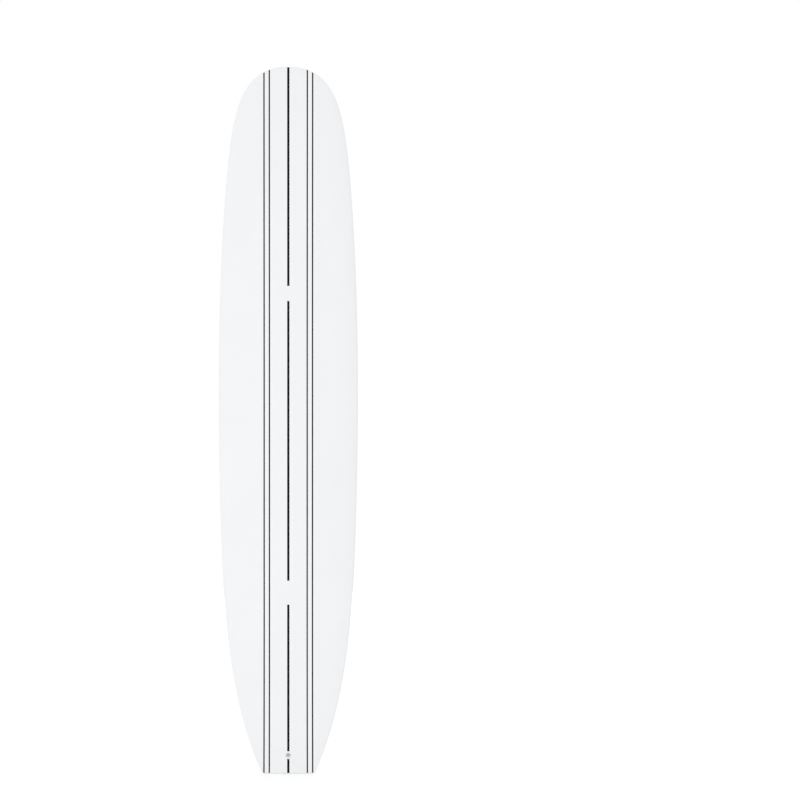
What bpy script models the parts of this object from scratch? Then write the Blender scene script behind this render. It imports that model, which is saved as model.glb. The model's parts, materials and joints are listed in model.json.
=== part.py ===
"""Longboard surfboard standing on its tail: foam blank, stringer, glass skins, pinlines, fin and leash plug.

The middle of the tail end is the origin. +Z runs up to the nose, the deck faces -Y and the bottom +Y.
"""

import math

import bmesh
import bpy
from mathutils import Matrix

# Board, in metres
LENGTH = 2.845
WIDTH = 0.568
THICKNESS = 0.070
WIDE_POINT_AHEAD = 0.0675  # from the middle of the length, towards the nose
THICK_POINT_BEHIND = 0.3145
LOW_POINT_BEHIND = 0.2095  # the lowest point of the bottom curve
TAIL_BLOCK = 0.212
TAIL_CORNER = 0.009
TAIL_EDGE = 0.0035
TAIL_THICKNESS = 0.0137
TAIL_ROCKER = 0.098
NOSE_THICKNESS = 0.015
NOSE_EDGE = 0.008
NOSE_ROCKER = 0.0925

# Curves of the board, without units
NOSE_TAPER, NOSE_TAPER_POWER = 0.297, 2.34
NOSE_ROUND_POWER, NOSE_ROUND_ROOT = 14.15, 2.24
TAIL_EASY_SHARE, TAIL_EASY_POWER, TAIL_PULL_POWER = 0.265, 1.66, 4.88
NOSE_ROCKER_POWER, TAIL_ROCKER_POWER = 2.83, 3.26
NOSE_FOIL_POWER, TAIL_FOIL_POWER = 4.4, 1.75
DECK_CROWN, BOTTOM_FLATNESS = 2.3, 4.5  # powers of the rounded cross-section
RAIL_APEX = 0.47  # share of the thickness that lies on the deck's side of the rail's widest line

# Build
GAP = 0.0003  # between pieces that touch
LAMINATE = 0.0012
LAP_SHARE = 0.25  # how far the deck skin wraps past the rail's widest line, of the height below it
TAIL_TURN = 0.0008  # how far the bottom skin's turn round the tail end goes past its own thickness
STRINGER = 0.005

# Pinlines
LINE_THICKNESS = 0.00025
CENTRE_LINE_WIDTH = 0.008
THIN_LINE_WIDTH = 0.004
INNER_LINE_OFFSET = 0.0765
OUTER_LINE_OFFSET = 0.098
LINE_TO_RAIL = 0.006  # a line stops this far short of the rail
DECK_GAPS = ((0.673, 0.770), (1.904, 1.965))  # bare places in the centre lines, from the tail
BOTTOM_GAPS = ((1.366, 1.531),)
LINE_CLEARANCE = 0.002  # between a centre line's end and the box or plug that it meets

# Fin box
BOX_CENTRE = 0.2725  # from the tail
BOX_LENGTH = 0.2667
FLANGE_LIP = 0.0034  # beyond the body on each side
FLANGE_DEPTH = 0.0045
NOTCHES = 6  # on each side
NOTCH_TO_END = 0.03285  # from the last notch's middle to the end of the box
NOTCH_DEPTH = 0.0032
NOTCH_LENGTH = 0.012
BODY_WALL = 0.0012  # beside the channels
BODY_SHORTER = 0.008
BOX_FLOOR = 0.0023
SLOT_WIDTH = 0.0097
SLOT_DEPTH = 0.0182
SLOT_END_WALL = 0.009
CHANNEL_UNDERCUT = 0.00295  # on each side of the slot
CHANNEL_TOP = 0.007  # thickness of the lips over the channels
CHANNEL_SHORTER = 0.002  # than the slot
PIN_PLAY = 0.0008  # of the roll pin in the channels' height
PORT_LENGTH = 0.018  # where the pin and the plate are let into the channels
PORT_INSET = 0.0002  # of its sides from the channels'

# Fin
SLIDE_AHEAD = 0.01835  # free slot ahead of the fin's lug
SLIDE_BEHIND = 0.03835  # free slot behind the fin's tab
LUG_LENGTH = 0.022  # ahead of the leading edge
LUG_TOP = 0.004
TAB_FRONT = 0.007  # behind the leading edge
TAB_CLEARANCE = 0.00025  # to each side of the slot
TAB_TOP = 0.0004
TAB_TO_FLOOR = 0.0007
TAB_CORNER = 0.008
FIN_OVERHANG = 0.011  # of the base past the tab
FIN_RELIEF = 0.0002  # how much thinner the base is than the tab
FIN_TIP_THICKNESS = 0.003
FIN_EDGE = 0.0012
FIN_ROOT = 0.002  # the blade's root goes this far into the slot
FIN_SWEEP = ((0.037, 0.053), (0.144, 0.272))  # corners of the leading edge's curve, aft and outwards
FIN_HOLLOW = ((0.1297, 0.110), (0.193, 0.168))  # corners of the trailing edge's curve
FIN_TIP = (0.283, 0.243)
FOIL = ((2.969, 0.5), (-1.26, 1), (-3.516, 2), (2.843, 3), (-1.036, 4))  # weights and powers of the section
PIN_TO_TAB_END = 0.015
PIN_RADIUS = 0.0024
PIN_BORE = 0.0014
PIN_SLIT = 0.0008
SCREW_AHEAD = 0.012  # of the leading edge
SCREW_RADIUS = 0.0021
SCREW_HEAD_LIP = 0.0017  # beyond the shank
SCREW_HEAD_HEIGHT = 0.0018
SCREW_EDGE = 0.0009
SCREW_BEVEL = 0.0014
SCREW_SLOT = 0.001  # width
SCREW_SLOT_DEPTH = 0.0008
SCREW_LENGTH = 0.0115
PLATE_LENGTH = 0.016
PLATE_THICKNESS = 0.0024

# Leash plug
PLUG_CENTRE = 0.072  # from the tail
PLUG_BORE_RADIUS = 0.0086
PLUG_WALL = 0.0018
PLUG_LIP = 0.0026  # of the flange, beyond the wall
PLUG_FLANGE = 0.002
PLUG_DEPTH = 0.014
PLUG_FLOOR = 0.0016
PLUG_RIM = 0.0005
PLUG_PIN_RADIUS = 0.002
PLUG_PIN_DEPTH = 0.005
PLUG_PIN_SEAT = 0.0008  # how far the pin goes into the wall

# Fineness
NOSE_STATIONS, NOSE_STATION_POWER = 18, 3.0
TAIL_STATIONS, TAIL_STATION_POWER = 16, 2.4
HALF_RING = 14  # steps over the deck, and as many over the bottom
ROUND_STEPS = 28
PIN_STEPS = 20
END_STEPS, CORNER_STEPS, NOTCH_STEPS = 8, 5, 4
BISECTIONS = 50
CREASE = math.radians(35)  # edges sharper than this are shaded sharp
BLADE_SECTIONS, BLADE_STEPS = 14, 9
BLADE_TIP = 0.985  # where the blade's last section lies, of the way along its edges
NEARLY = 1e-9  # what counts as nothing when places are looked up
LINE_FIT = 0.0001  # how far a pinline's facets may leave the skin's

# Worked out from the sizes above
WIDE_POINT = LENGTH / 2 + WIDE_POINT_AHEAD
THICK_POINT = LENGTH / 2 - THICK_POINT_BEHIND
LOW_POINT = LENGTH / 2 - LOW_POINT_BEHIND
REACH = LENGTH + WIDTH  # longer than the board, for cutters
TAIL_LAP = LAMINATE + TAIL_TURN
SLOT_LENGTH = BOX_LENGTH - 2 * SLOT_END_WALL
CHANNEL_WIDTH = SLOT_WIDTH + 2 * CHANNEL_UNDERCUT
CHANNEL_HEIGHT = 2 * PIN_RADIUS + PIN_PLAY
CHANNEL_FLOOR = CHANNEL_TOP + CHANNEL_HEIGHT
PORT_WIDTH = CHANNEL_WIDTH - 2 * PORT_INSET
BODY_WIDTH = CHANNEL_WIDTH + 2 * BODY_WALL
BOX_DEPTH = SLOT_DEPTH + BOX_FLOOR
FLANGE_WIDTH = BODY_WIDTH + 2 * FLANGE_LIP
NOTCH_PITCH = (BOX_LENGTH - 2 * NOTCH_TO_END) / (NOTCHES - 1)
LUG_START = SLIDE_AHEAD - SLOT_LENGTH / 2  # from the middle of the box, aft positive
FIN_FRONT = LUG_START + LUG_LENGTH
TAB_START = FIN_FRONT + TAB_FRONT
TAB_END = SLOT_LENGTH / 2 - SLIDE_BEHIND
TAB_WIDTH = SLOT_WIDTH - 2 * TAB_CLEARANCE
FIN_THICKNESS = TAB_WIDTH - FIN_RELIEF
LEADING_EDGE = ((0, 0), *FIN_SWEEP, FIN_TIP)
TRAILING_EDGE = ((TAB_END + FIN_OVERHANG - FIN_FRONT, 0), *FIN_HOLLOW, FIN_TIP)
SCREW_PLACE = FIN_FRONT - SCREW_AHEAD
SCREW_HEAD_RADIUS = SCREW_RADIUS + SCREW_HEAD_LIP
PLATE_TOP = CHANNEL_TOP + GAP
LUG_BOTTOM = CHANNEL_TOP
PLUG_RADIUS = PLUG_BORE_RADIUS + PLUG_WALL
PLUG_FLANGE_RADIUS = PLUG_RADIUS + PLUG_LIP
PLUG_PIN_LENGTH = 2 * (PLUG_BORE_RADIUS + PLUG_PIN_SEAT)


def rounded_in(radius, distance):
    """How far a rounded edge of this radius draws back at a distance from the end."""
    short = max(radius - distance, 0.0)
    return radius - math.sqrt(radius**2 - short**2)


def half_width(z):
    """Half the outline's width at a height above the tail."""
    half = WIDTH / 2
    if z > WIDE_POINT:
        u = min((z - WIDE_POINT) / (LENGTH - WIDE_POINT), 1.0)
        round_nose = (1 - u**NOSE_ROUND_POWER) ** (1 / NOSE_ROUND_ROOT)
        return half * (1 - NOSE_TAPER * u**NOSE_TAPER_POWER) * round_nose
    u = (WIDE_POINT - z) / WIDE_POINT
    pull = TAIL_EASY_SHARE * u**TAIL_EASY_POWER + (1 - TAIL_EASY_SHARE) * u**TAIL_PULL_POWER
    return half - (half - TAIL_BLOCK / 2) * pull - rounded_in(TAIL_CORNER, z)


def towards_ends(z, middle, nose_power, tail_power):
    """How far along to the nose and to the tail a height lies from a middle, each raised to its power."""
    nose = max(z - middle, 0.0) / (LENGTH - middle)
    tail = max(middle - z, 0.0) / middle
    return nose**nose_power, tail**tail_power


def bottom_line(z):
    """Y of the bottom on the centre line."""
    nose, tail = towards_ends(z, LOW_POINT, NOSE_ROCKER_POWER, TAIL_ROCKER_POWER)
    return TAIL_THICKNESS / 2 + TAIL_ROCKER * (1 - tail) - NOSE_ROCKER * nose


def thickness(z):
    nose, tail = towards_ends(z, THICK_POINT, NOSE_FOIL_POWER, TAIL_FOIL_POWER)
    return THICKNESS - (THICKNESS - NOSE_THICKNESS) * nose - (THICKNESS - TAIL_THICKNESS) * tail


def rail_line(z):
    """Y of the rail's widest line."""
    return bottom_line(z) - (1 - RAIL_APEX) * thickness(z)


def heights(z, inset):
    """Heights of the deck and of the bottom from the rail line, for a hull that lies this far inside."""
    deck = RAIL_APEX * thickness(z) - inset
    bottom = (1 - RAIL_APEX) * thickness(z) - inset
    to_nose = min((LENGTH - z) / NOSE_EDGE, 1.0)
    nose_round = math.sqrt(1 - (1 - to_nose) ** 2)
    tail_edge = rounded_in(TAIL_EDGE, z)
    return (deck - tail_edge) * nose_round, (bottom - tail_edge) * nose_round


def stations():
    """Heights of the cross-sections, closer together towards both ends."""
    tail = [WIDE_POINT * (k / TAIL_STATIONS) ** TAIL_STATION_POWER for k in range(TAIL_STATIONS)]
    nose_length = LENGTH - WIDE_POINT
    steps = range(NOSE_STATIONS, 0, -1)
    return tail + [LENGTH - nose_length * (k / NOSE_STATIONS) ** NOSE_STATION_POWER for k in steps]


STATIONS = stations()


def rounded_point(angle, width, height, power):
    """A point of a superellipse, measured from its middle."""
    across, up = math.cos(angle), math.sin(angle)
    return (
        math.copysign(abs(across) ** (2 / power), across) * width,
        abs(up) ** (2 / power) * height,
    )


def ring(z, inset):
    """One cross-section, from the right rail over the deck to the left rail and back under the bottom."""
    width = half_width(z) - inset
    deck, bottom = heights(z, inset)
    up = inset + z * (LENGTH - 2 * inset) / LENGTH
    level = rail_line(up)
    points = []
    for step in range(2 * HALF_RING):
        angle = math.pi * step / HALF_RING
        power, height = (DECK_CROWN, -deck) if step < HALF_RING else (BOTTOM_FLATNESS, bottom)
        x, y = rounded_point(angle, width, height, power)
        points.append((x, level + y, up))
    return points


def ring_triangles(lower, upper):
    """Triangles between two cross-sections. The diagonals on the left mirror those on the right."""
    count = len(lower)
    found = []
    for j in range(count):
        after = (j + 1) % count
        a, b, c, d = lower[j], lower[after], upper[after], upper[j]
        rising = (j % HALF_RING < HALF_RING / 2) == (j < HALF_RING)
        found += [(a, b, c), (a, c, d)] if rising else [(a, b, d), (b, c, d)]
    return found


def hull_mesh(*insets):
    """Closed hulls of the board, each its inset inside the outer surface. A second one hollows the first."""
    bm = bmesh.new()
    for inset in insets:
        rings = [[bm.verts.new(p) for p in ring(z, inset)] for z in STATIONS]
        faces = [bm.faces.new(rings[0]), bm.faces.new(rings[-1])]
        for lower, upper in zip(rings, rings[1:]):
            faces += [bm.faces.new(corners) for corners in ring_triangles(lower, upper)]
        bmesh.ops.recalc_face_normals(bm, faces=faces)
        if inset != insets[0]:
            bmesh.ops.reverse_faces(bm, faces=faces)
    return bm


def surface_y(x, z, outward):
    """Y of the outer skin's own facet at a place, on the deck (outward -1) or on the bottom (outward 1)."""
    k = max(i for i in range(len(STATIONS) - 1) if STATIONS[i] <= z)
    for corners in ring_triangles(ring(STATIONS[k], 0.0), ring(STATIONS[k + 1], 0.0)):
        (ax, ay, az), (bx, by, bz), (cx, cy, cz) = corners
        area = (bx - ax) * (cz - az) - (cx - ax) * (bz - az)
        faces_out = ((ay + by + cy) / 3 - rail_line((az + bz + cz) / 3)) * outward > 0
        if not faces_out or abs(area) < NEARLY:
            continue
        to_b = ((x - ax) * (cz - az) - (cx - ax) * (z - az)) / area
        to_c = ((bx - ax) * (z - az) - (x - ax) * (bz - az)) / area
        if min(to_b, to_c, 1 - to_b - to_c) > -NEARLY:
            return ay + to_b * (by - ay) + to_c * (cy - ay)
    raise ValueError(f"no skin at x {x:.4f}, z {z:.4f}")


def prism_mesh(outline, low, high):
    """A flat outline in X and Y, drawn out along Z."""
    bm = bmesh.new()
    base = bm.faces.new([bm.verts.new((x, y, low)) for x, y in outline])
    side = bmesh.ops.extrude_face_region(bm, geom=[base])
    moved = [v for v in side["geom"] if isinstance(v, bmesh.types.BMVert)]
    bmesh.ops.translate(bm, verts=moved, vec=(0, 0, high - low))
    bmesh.ops.recalc_face_normals(bm, faces=bm.faces)
    return bm


def across_mesh(outline, width):
    """An outline in Y and Z, drawn out across the board and centred on it."""
    bm = prism_mesh(outline, -width / 2, width / 2)
    bm.transform(Matrix(((0, 0, 1, 0), (1, 0, 0, 0), (0, 1, 0, 0), (0, 0, 0, 1))))
    return bm


def lathe_mesh(profile, steps=ROUND_STEPS):
    """A closed profile of radius and height, turned about Z. A radius of 0 is a point on the axis."""
    bm = bmesh.new()
    rings = []
    for radius, height in profile:
        count = steps if radius > 0 else 1
        turns = [2 * math.pi * i / steps for i in range(count)]
        rings.append([bm.verts.new((radius * math.cos(t), radius * math.sin(t), height)) for t in turns])
    for one, two in zip(rings, rings[1:] + rings[:1]):
        if len(one) == len(two) == 1:
            continue
        for i in range(steps):
            after = (i + 1) % steps
            corners = [one[i % len(one)], one[after % len(one)], two[after % len(two)], two[i % len(two)]]
            bm.faces.new(dict.fromkeys(corners))
    bmesh.ops.recalc_face_normals(bm, faces=bm.faces)
    return bm


def rod_mesh(radius, low, high):
    return lathe_mesh([(0, low), (radius, low), (radius, high), (0, high)])


def arc(centre_x, centre_y, radius, start, end, steps):
    angles = [start + (end - start) * i / steps for i in range(steps + 1)]
    return [(centre_x + radius * math.cos(a), centre_y + radius * math.sin(a)) for a in angles]


def circle(radius, steps):
    return arc(0, 0, radius, 0, 2 * math.pi, steps)[:-1]


def rectangle(width, length):
    x, y = width / 2, length / 2
    return [(-x, -y), (x, -y), (x, y), (-x, y)]


def stadium(width, length):
    """An outline with round ends, long along Y."""
    radius, straight = width / 2, (length - width) / 2
    far = arc(0, straight, radius, 0, math.pi, END_STEPS)
    return far + arc(0, -straight, radius, math.pi, 2 * math.pi, END_STEPS)


def notched_outline(grown):
    """The fin box's flange, with round notches down both sides, grown outwards all round."""
    edge = FLANGE_WIDTH / 2
    radius = ((NOTCH_LENGTH / 2) ** 2 + NOTCH_DEPTH**2) / (2 * NOTCH_DEPTH)
    notch_x = edge + radius - NOTCH_DEPTH
    half_angle = math.acos((notch_x - edge - grown) / (radius - grown))
    places = [(k - (NOTCHES - 1) / 2) * NOTCH_PITCH for k in range(NOTCHES)]
    right = []
    for y in places:
        right += arc(notch_x, y, radius - grown, math.pi + half_angle, math.pi - half_angle, NOTCH_STEPS)
    left = [(-x, y) for x, y in reversed(right)]
    straight = BOX_LENGTH / 2 - edge
    far = arc(0, straight, edge + grown, 0, math.pi, END_STEPS)
    near = arc(0, -straight, edge + grown, math.pi, 2 * math.pi, END_STEPS)
    return right + far + left + near


def curve_point(corners, t):
    """A point of the cubic curve with these four corners."""
    weights = ((1 - t) ** 3, 3 * (1 - t) ** 2 * t, 3 * (1 - t) * t**2, t**3)
    return tuple(sum(w * corner[i] for w, corner in zip(weights, corners)) for i in (0, 1))


def foil_share(c):
    """Thickness of a symmetrical foil, of its greatest, at a share of the chord."""
    return sum(weight * c**power for weight, power in FOIL)


def blade_ring(along, lowered):
    """One cross-section of the fin's blade, from its leading edge round both sides."""
    front, back = curve_point(LEADING_EDGE, along), curve_point(TRAILING_EDGE, along)
    thick = FIN_TIP_THICKNESS + (FIN_THICKNESS - FIN_TIP_THICKNESS) * (1 - along)
    right = []
    for i in range(1, BLADE_STEPS + 1):
        c = (1 - math.cos(math.pi * i / BLADE_STEPS)) / 2
        half = (thick * foil_share(c) + FIN_EDGE * c) / 2
        aft, out = (front[n] + c * (back[n] - front[n]) for n in (0, 1))
        right.append((half, FIN_FRONT + aft, out - lowered))
    left = [(-x, y, z) for x, y, z in reversed(right)]
    return [(0, FIN_FRONT + front[0], front[1] - lowered)] + right + left


def blade_mesh():
    bm = bmesh.new()
    sections = [blade_ring(0.0, FIN_ROOT)]
    sections += [blade_ring(BLADE_TIP * k / BLADE_SECTIONS, 0.0) for k in range(BLADE_SECTIONS + 1)]
    rings = [[bm.verts.new(p) for p in section] for section in sections]
    bm.faces.new(rings[0])
    bm.faces.new(rings[-1])
    for lower, upper in zip(rings, rings[1:]):
        for j in range(len(lower)):
            after = (j + 1) % len(lower)
            bm.faces.new((lower[j], lower[after], upper[after], upper[j]))
    bmesh.ops.recalc_face_normals(bm, faces=bm.faces)
    bmesh.ops.triangulate(bm, faces=bm.faces)
    return bm


def tab_outline():
    """Side view of the fin's tab and its front lug, aft and outwards from the middle of the box."""
    floor, corner = TAB_TO_FLOOR - SLOT_DEPTH, TAB_CORNER
    front = arc(TAB_START + corner, floor + corner, corner, math.pi, 1.5 * math.pi, CORNER_STEPS)
    back = arc(TAB_END - corner, floor + corner, corner, 1.5 * math.pi, 2 * math.pi, CORNER_STEPS)
    top = [(TAB_END, -TAB_TOP), (FIN_FRONT + GAP, -TAB_TOP), (FIN_FRONT + GAP, -LUG_TOP)]
    lug = [(LUG_START, -LUG_TOP), (LUG_START, -LUG_BOTTOM), (TAB_START, -LUG_BOTTOM)]
    return lug + front + back + top


def split_tube_outline():
    """End view of a rolled pin, open along one side."""
    outer = math.asin(PIN_SLIT / 2 / PIN_RADIUS)
    inner = math.asin(PIN_SLIT / 2 / PIN_BORE)
    turn = 2 * math.pi
    wall = arc(0, 0, PIN_RADIUS, outer, turn - outer, PIN_STEPS)
    return wall + arc(0, 0, PIN_BORE, turn - inner, inner, PIN_STEPS)


def line_end(x, within, tip):
    """The height nearest a tip at which the skin still reaches past x."""
    inside, outside = within, tip
    for _ in range(BISECTIONS):
        middle = (inside + outside) / 2
        if half_width(middle) - LINE_TO_RAIL > abs(x):
            inside = middle
        else:
            outside = middle
    return inside


def line_places(outward, one, two):
    """Pairs of a left and a right point down a pinline, close enough together to follow the skin."""
    middle = [tuple((a + b) / 2 for a, b in zip(p, q)) for p, q in zip(one, two)]
    apart = 0.0
    for (x, z), p, q in zip(middle, one, two):
        chord = (surface_y(*p, outward) + surface_y(*q, outward)) / 2
        apart = max(apart, abs(surface_y(x, z, outward) - chord))
    if apart < LINE_FIT:
        return [one]
    return line_places(outward, one, middle) + line_places(outward, middle, two)


def line_mesh(outward, left, right, low, high):
    """A pinline between two x values and two heights, following the skin's facets a gap above them."""
    edges = []
    for x in (left, right):
        start = max(low, line_end(x, WIDE_POINT, TAIL_EDGE))
        end = min(high, line_end(x, WIDE_POINT, LENGTH - NOSE_EDGE / 2))
        edges.append((x, start, end))
    first, last = max(e[1] for e in edges), min(e[2] for e in edges)
    stops = [[(x, start) for x, start, _ in edges]]
    stops += [[(x, z) for x, _, _ in edges] for z in STATIONS if first < z < last]
    stops += [[(x, end) for x, _, end in edges]]
    places = []
    for one, two in zip(stops, stops[1:]):
        places += line_places(outward, one, two)
    bm = bmesh.new()
    rings = []
    for pair in [*places, stops[-1]]:
        under = [(x, surface_y(x, z, outward) + outward * GAP, z) for x, z in pair]
        over = [(x, y + outward * LINE_THICKNESS, z) for x, y, z in reversed(under)]
        rings.append([bm.verts.new(p) for p in under + over])
    bm.faces.new(rings[0])
    bm.faces.new(rings[-1])
    for one, two in zip(rings, rings[1:]):
        for j in range(4):
            bm.faces.new((one[j], one[(j + 1) % 4], two[(j + 1) % 4], two[j]))
    bmesh.ops.recalc_face_normals(bm, faces=bm.faces)
    return bm


def seam_outline(deck_side):
    """Side view of the space that one skin keeps, on its side of the lap along the rail."""
    shift = GAP if deck_side else 0.0
    middles = [(a + b) / 2 for a, b in zip(STATIONS, STATIONS[1:])]
    heights_up = [TAIL_LAP + shift] + [z for z in middles if z > TAIL_EDGE]
    seam = [(rail_line(z) + LAP_SHARE * heights(z, 0.0)[1] - shift, z) for z in heights_up]
    seam.append((seam[-1][0], REACH))
    if deck_side:
        return seam + [(-REACH, REACH), (-REACH, heights_up[0])]
    return [(-REACH, -REACH), (-REACH, TAIL_LAP)] + seam + [(REACH, REACH), (REACH, -REACH)]


def material(name, colour, roughness, metallic=0.0):
    made = bpy.data.materials.new(name)
    made.use_nodes = True
    shader = made.node_tree.nodes["Principled BSDF"]
    shader.inputs["Base Color"].default_value = (*colour, 1.0)
    shader.inputs["Roughness"].default_value = roughness
    shader.inputs["Metallic"].default_value = metallic
    made.diffuse_color = (*colour, 1.0)
    return made


def add(name, bm, finish=None, parent=None, place=(0, 0, 0)):
    """A named object from a bmesh. One with no finish is a cutter, which stays hidden."""
    mesh = bpy.data.meshes.new(name)
    bm.to_mesh(mesh)
    bm.free()
    obj = bpy.data.objects.new(name, mesh)
    bpy.context.scene.collection.objects.link(obj)
    obj.parent = parent
    obj.location = place
    if finish is None:
        obj.hide_render = True
        obj.display_type = "WIRE"
    else:
        mesh.materials.append(finish)
        mesh.shade_smooth()
        mesh.set_sharp_from_angle(angle=CREASE)
    return obj


def combine(obj, operation, *others):
    for other in others:
        modifier = obj.modifiers.new(f"{operation.lower()} {other.name}", "BOOLEAN")
        modifier.operation = operation
        modifier.object = other
        modifier.solver = "EXACT"


def axes_at(name, place, angle):
    """An empty at a place on the board, turned about X."""
    empty = bpy.data.objects.new(name, None)
    bpy.context.scene.collection.objects.link(empty)
    empty.location = place
    empty.rotation_euler = (angle, 0, 0)
    return empty


def slope(line, z, half_span):
    return (line(z + half_span) - line(z - half_span)) / (2 * half_span)


def deck_line(z):
    return bottom_line(z) - thickness(z)


def clear_scene():
    for obj in list(bpy.data.objects):
        bpy.data.objects.remove(obj, do_unlink=True)


def make_pinlines(finish):
    box_reach = BOX_LENGTH / 2 + LINE_CLEARANCE
    plug_reach = PLUG_FLANGE_RADIUS + LINE_CLEARANCE
    plug_gap = (PLUG_CENTRE - plug_reach, PLUG_CENTRE + plug_reach)
    box_gap = (BOX_CENTRE - box_reach, BOX_CENTRE + box_reach)
    sides = (("deck", -1, (plug_gap, *DECK_GAPS)), ("bottom", 1, (box_gap, *BOTTOM_GAPS)))
    for side, outward, gaps in sides:
        stops = [0.0, *(z for gap in gaps for z in gap), LENGTH]
        half = CENTRE_LINE_WIDTH / 2
        for number, (low, high) in enumerate(zip(stops[::2], stops[1::2]), 1):
            add(f"{side}_centre_line_{number}", line_mesh(outward, -half, half, low, high), finish)
        for hand, sign in (("left", -1), ("right", 1)):
            for place, offset in (("inner", INNER_LINE_OFFSET), ("outer", OUTER_LINE_OFFSET)):
                x = sign * offset
                left, right = x - THIN_LINE_WIDTH / 2, x + THIN_LINE_WIDTH / 2
                bm = line_mesh(outward, left, right, 0.0, LENGTH)
                add(f"{side}_pinline_{hand}_{place}", bm, finish)


def make_fin_box(finish, hull, box_axes):
    """The box, flush with the bottom, and the two cutters that let it into the board."""
    body_outline = stadium(BODY_WIDTH, BOX_LENGTH - BODY_SHORTER)
    box = add("fin_box", prism_mesh(notched_outline(0.0), -FLANGE_DEPTH, FLANGE_DEPTH), finish, box_axes)
    body = add("box_body", prism_mesh(body_outline, -BOX_DEPTH, -FLANGE_DEPTH / 2), parent=box_axes)
    slot = prism_mesh(stadium(SLOT_WIDTH, SLOT_LENGTH), -SLOT_DEPTH, BOX_DEPTH)
    channel_outline = stadium(CHANNEL_WIDTH, SLOT_LENGTH - CHANNEL_SHORTER)
    channel = prism_mesh(channel_outline, -CHANNEL_FLOOR, -CHANNEL_TOP)
    port = prism_mesh(stadium(PORT_WIDTH, PORT_LENGTH), -CHANNEL_TOP - CHANNEL_HEIGHT / 2, BOX_DEPTH)
    combine(box, "UNION", body)
    combine(box, "INTERSECT", hull)
    for name, bm in (("box_slot", slot), ("box_channel", channel), ("box_port", port)):
        combine(box, "DIFFERENCE", add(name, bm, parent=box_axes))
    flange_pocket = prism_mesh(notched_outline(GAP), -FLANGE_DEPTH - GAP, BOX_DEPTH)
    wider = stadium(BODY_WIDTH + 2 * GAP, BOX_LENGTH - BODY_SHORTER + 2 * GAP)
    body_pocket = prism_mesh(wider, -BOX_DEPTH - GAP, 0.0)
    return (
        add("flange_pocket", flange_pocket, parent=box_axes),
        add("body_pocket", body_pocket, parent=box_axes),
    )


def make_fin(fin_finish, metal, box_axes):
    fin = add("fin", blade_mesh(), fin_finish, box_axes)
    tab = add("fin_tab", across_mesh(tab_outline(), TAB_WIDTH), parent=box_axes)
    pin_place = (0, TAB_END - PIN_TO_TAB_END, -CHANNEL_TOP - CHANNEL_HEIGHT / 2)
    screw_place = (0, SCREW_PLACE, 0)
    pin_hole_mesh = across_mesh(circle(PIN_RADIUS + GAP, PIN_STEPS), BODY_WIDTH)
    pin_hole = add("pin_hole", pin_hole_mesh, parent=box_axes, place=pin_place)
    screw_hole_mesh = rod_mesh(SCREW_RADIUS + GAP, -BOX_DEPTH, BOX_DEPTH)
    screw_hole = add("screw_hole", screw_hole_mesh, parent=box_axes, place=screw_place)
    combine(fin, "UNION", tab)
    combine(fin, "DIFFERENCE", pin_hole, screw_hole)

    pin_length = CHANNEL_WIDTH - 2 * GAP
    add("fin_roll_pin", across_mesh(split_tube_outline(), pin_length), metal, box_axes, pin_place)

    seat = -LUG_TOP + GAP
    crown = seat + SCREW_HEAD_HEIGHT
    edge = seat + SCREW_EDGE
    foot = seat - SCREW_LENGTH
    head = [(0, crown), (SCREW_HEAD_RADIUS - SCREW_BEVEL, crown), (SCREW_HEAD_RADIUS, edge)]
    shank = [(SCREW_HEAD_RADIUS, seat), (SCREW_RADIUS, seat), (SCREW_RADIUS, foot), (0, foot)]
    screw = add("fin_screw", lathe_mesh(head + shank), metal, box_axes, screw_place)
    slot_mesh = prism_mesh(rectangle(BODY_WIDTH, SCREW_SLOT), crown - SCREW_SLOT_DEPTH, BOX_DEPTH)
    combine(screw, "DIFFERENCE", add("screw_slot", slot_mesh, parent=box_axes, place=screw_place))

    outline = rectangle(CHANNEL_WIDTH - 2 * GAP, PLATE_LENGTH)
    plate_mesh = prism_mesh(outline, -PLATE_TOP - PLATE_THICKNESS, -PLATE_TOP)
    plate = add("fin_nut_plate", plate_mesh, metal, box_axes, screw_place)
    combine(plate, "DIFFERENCE", screw_hole)


def make_leash_plug(finish, metal, plug_axes):
    """The plug, and the two cutters that let it into the board."""
    rim, bore = PLUG_RIM, PLUG_BORE_RADIUS
    inside = [(0, PLUG_FLOOR - PLUG_DEPTH), (bore, PLUG_FLOOR - PLUG_DEPTH), (bore, -rim), (bore + rim, 0)]
    flange = [(PLUG_FLANGE_RADIUS, 0), (PLUG_FLANGE_RADIUS, -PLUG_FLANGE)]
    outside = [(PLUG_RADIUS, -PLUG_FLANGE), (PLUG_RADIUS, -PLUG_DEPTH), (0, -PLUG_DEPTH)]
    cup = add("leash_plug_cup", lathe_mesh(inside + flange + outside), finish, plug_axes)
    place = (0, 0, -PLUG_PIN_DEPTH)
    hole_mesh = across_mesh(circle(PLUG_PIN_RADIUS + GAP, PIN_STEPS), PLUG_PIN_LENGTH + 2 * GAP)
    hole = add("plug_pin_hole", hole_mesh, parent=plug_axes, place=place)
    combine(cup, "DIFFERENCE", hole)
    pin_mesh = across_mesh(circle(PLUG_PIN_RADIUS, PIN_STEPS), PLUG_PIN_LENGTH)
    add("leash_plug_pin", pin_mesh, metal, plug_axes, place)
    flange_pocket = rod_mesh(PLUG_FLANGE_RADIUS + GAP, -PLUG_FLANGE - GAP, PLUG_DEPTH)
    cup_pocket = rod_mesh(PLUG_RADIUS + GAP, -PLUG_DEPTH - GAP, 0.0)
    return (
        add("plug_flange_pocket", flange_pocket, parent=plug_axes),
        add("plug_cup_pocket", cup_pocket, parent=plug_axes),
    )


def half_space(low, high):
    """A block across the whole board between two x values."""
    corners = [(low, -REACH), (high, -REACH), (high, REACH), (low, REACH)]
    return prism_mesh(corners, -REACH, REACH)


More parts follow.
